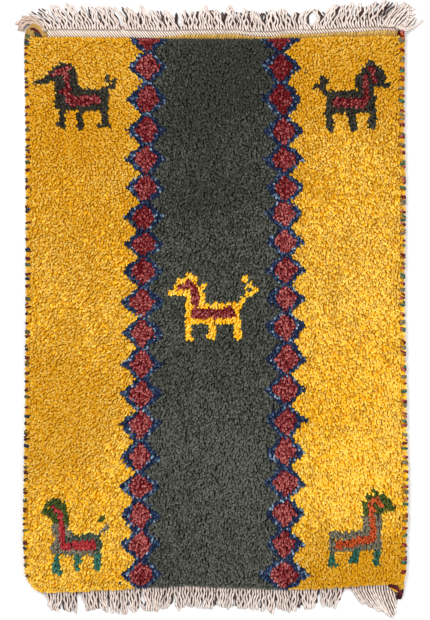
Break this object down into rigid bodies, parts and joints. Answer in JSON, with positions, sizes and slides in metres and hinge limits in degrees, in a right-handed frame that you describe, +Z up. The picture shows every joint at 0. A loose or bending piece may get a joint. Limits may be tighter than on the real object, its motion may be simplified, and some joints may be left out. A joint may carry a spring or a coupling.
{
  "type": "hand-knotted gabbeh rug",
  "caption": "Small flat pile rug: a woven foundation with a thick knotted pile, an overcast rope down each long side and a loose warp fringe at both ends.",
  "frame": {"origin": "on the floor, under the middle of the rug's bounding box", "axes": "+Z up out of the pile, +Y along the rug towards the end that is at the top of the picture, +X to the picture's right"},
  "size_m": [0.434, 0.6626, 0.0141],
  "materials": {
    "gold_wool": "thick matte wool pile",
    "wrapping_yarn": "overcast wool yarn",
    "cream_warp": "undyed wool warp"
  },
  "bodies": {
    "root": {"cloth_with_pile": "gold_wool", "selvedge_left": "wrapping_yarn", "selvedge_right": "wrapping_yarn", "fringe_top": "cream_warp", "fringe_bottom": "cream_warp"}
  },
  "joints": []
}
